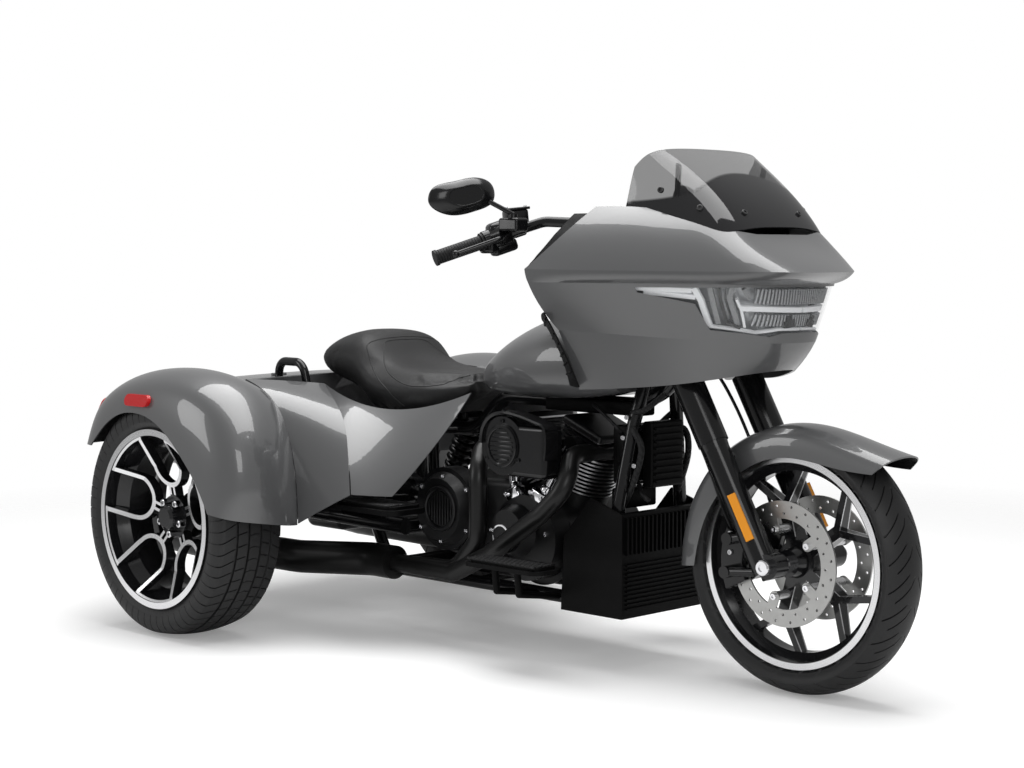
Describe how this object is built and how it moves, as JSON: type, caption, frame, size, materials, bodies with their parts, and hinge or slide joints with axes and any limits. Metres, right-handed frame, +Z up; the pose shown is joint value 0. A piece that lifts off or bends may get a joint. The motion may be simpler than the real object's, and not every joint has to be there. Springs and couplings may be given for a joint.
{
  "type": "motorized trike",
  "caption": "Touring trike with a frame-mounted fairing, a steered front wheel, twin rear wheels under fenders and a hinged boot lid.",
  "frame": {"origin": "on the floor, midway along the overall length and width", "axes": "+X forward, +Y to the rider's left, +Z up"},
  "size_m": [2.4789, 1.4378, 1.3029],
  "materials": {
    "body_paint": "gloss grey paint under clear lacquer",
    "black_paint": "gloss black powder coat",
    "gloss_black": "gloss black paint",
    "engine_black": "satin black engine enamel",
    "cylinder_fins": "black cylinders with machined fin edges",
    "exhaust_black": "satin black heat-resistant coating",
    "wheel_black": "gloss black casting with machined edges",
    "chrome": "bright chrome plate",
    "disc_steel": "ground stainless steel",
    "tyre_rubber": "matt black tread rubber",
    "grip_rubber": "matt black rubber",
    "seat_cover": "grained black vinyl",
    "satin_plastic": "satin black moulded plastic",
    "lamp_lens": "clear polycarbonate lens",
    "red_lens": "red moulded lamp lens",
    "amber_lens": "amber moulded reflector",
    "smoked_screen": "dark smoked polycarbonate"
  },
  "bodies": {
    "chassis": {"frame": "black_paint", "rear_axle": "black_paint", "swing_arm": "black_paint", "shocks": "black_paint", "crankcase": "engine_black", "cylinders": "cylinder_fins", "cylinder_heads": "engine_black", "rocker_boxes": "engine_black", "timer_cover": "engine_black", "gearbox_cover": "engine_black", "primary_cover": "engine_black", "pushrod_tubes": "chrome", "air_cleaner": "gloss_black", "exhaust_headers": "exhaust_black", "silencers": "exhaust_black", "radiator_cowl": "satin_plastic", "oil_cooler": "satin_plastic", "rider_footboards": "satin_plastic", "passenger_footboards": "satin_plastic", "fuel_tank": "body_paint", "filler_cap": "gloss_black", "seat": "seat_cover", "rear_fender_right": "body_paint", "rear_fender_left": "body_paint", "rear_lamps": "red_lens", "rear_body": "body_paint", "body_panels": "body_paint", "side_covers": "body_paint", "grab_rails": "gloss_black", "plate_bracket": "satin_plastic", "fairing": "body_paint", "headlamp_housing": "satin_plastic", "headlamp_lens": "lamp_lens", "windscreen": "smoked_screen", "inner_fairing": "satin_plastic", "fairing_liner": "gloss_black"},
    "steering": {"triple_clamps": "gloss_black", "fork_legs": "gloss_black", "fork_reflectors": "amber_lens", "front_axle": "chrome", "handlebar": "gloss_black", "grips": "grip_rubber", "hand_controls": "gloss_black", "mirrors": "gloss_black", "front_mudguard": "body_paint", "brake_calipers": "gloss_black"},
    "front_wheel": {"front_rim": "wheel_black", "front_tyre": "tyre_rubber", "front_discs": "disc_steel"},
    "rear_wheel_left": {"rear_rim_left": "wheel_black", "rear_tyre_left": "tyre_rubber"},
    "rear_wheel_right": {"rear_rim_right": "wheel_black", "rear_tyre_right": "tyre_rubber"},
    "boot_lid": {"boot_lid": "body_paint"}
  },
  "joints": [
    {"name": "steering", "type": "hinge", "parent": "chassis", "child": "steering", "pos_m": [0.59717, 0, 0.87], "axis": [-0.4384, 0, 0.8988], "range_deg": [-35, 35]},
    {"name": "front_wheel_spin", "type": "hinge", "parent": "steering", "child": "front_wheel", "pos_m": [0.9205, 0, 0.319], "axis": [0, 1, 0], "continuous": true},
    {"name": "rear_wheel_left_spin", "type": "hinge", "parent": "chassis", "child": "rear_wheel_left", "pos_m": [-0.7495, 0.592, 0.325], "axis": [0, 1, 0], "continuous": true},
    {"name": "rear_wheel_right_spin", "type": "hinge", "parent": "chassis", "child": "rear_wheel_right", "pos_m": [-0.7495, -0.592, 0.325], "axis": [0, 1, 0], "continuous": true},
    {"name": "boot_lid_hinge", "type": "hinge", "parent": "chassis", "child": "boot_lid", "pos_m": [-0.778, 0, 0.7005], "axis": [0, 1, 0], "range_deg": [0, 65]}
  ]
}
